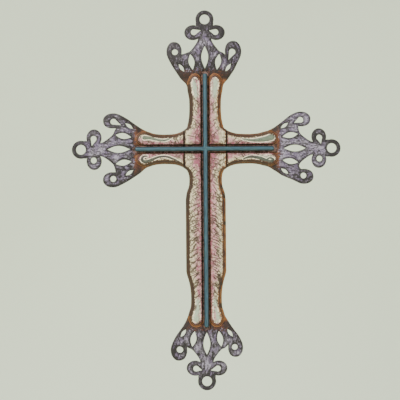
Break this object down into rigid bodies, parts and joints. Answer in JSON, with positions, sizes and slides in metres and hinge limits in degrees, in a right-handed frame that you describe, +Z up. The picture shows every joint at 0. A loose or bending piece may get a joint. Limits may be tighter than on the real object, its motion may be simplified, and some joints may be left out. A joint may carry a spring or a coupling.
{
  "type": "painted steel wall cross",
  "caption": "Wall cross of pressed, pierced and painted sheet steel with scrolled finials and a cross of teal round bar let into its face.",
  "frame": {"origin": "the back face of the hanger plate, on the cross's middle line, just below the keyhole", "axes": "+Z up along the post, +Y into the wall behind the cross, +X to the viewer's right"},
  "size_m": [0.3535, 0.0158, 0.5],
  "materials": {
    "painted_sheet": "hand-painted aged ivory, pink and pale green panels with rust-brown borders and lavender dry-brushed over charcoal on the finials, satin and worn",
    "painted_bar": "teal paint over steel, satin, rubbed lighter along the top",
    "bare_steel": "dark oxidised steel"
  },
  "bodies": {
    "root": {"post": "painted_sheet", "left_arm": "painted_sheet", "right_arm": "painted_sheet", "upright_bar": "painted_bar", "left_bar": "painted_bar", "right_bar": "painted_bar", "hanger_plate": "bare_steel"}
  },
  "joints": []
}
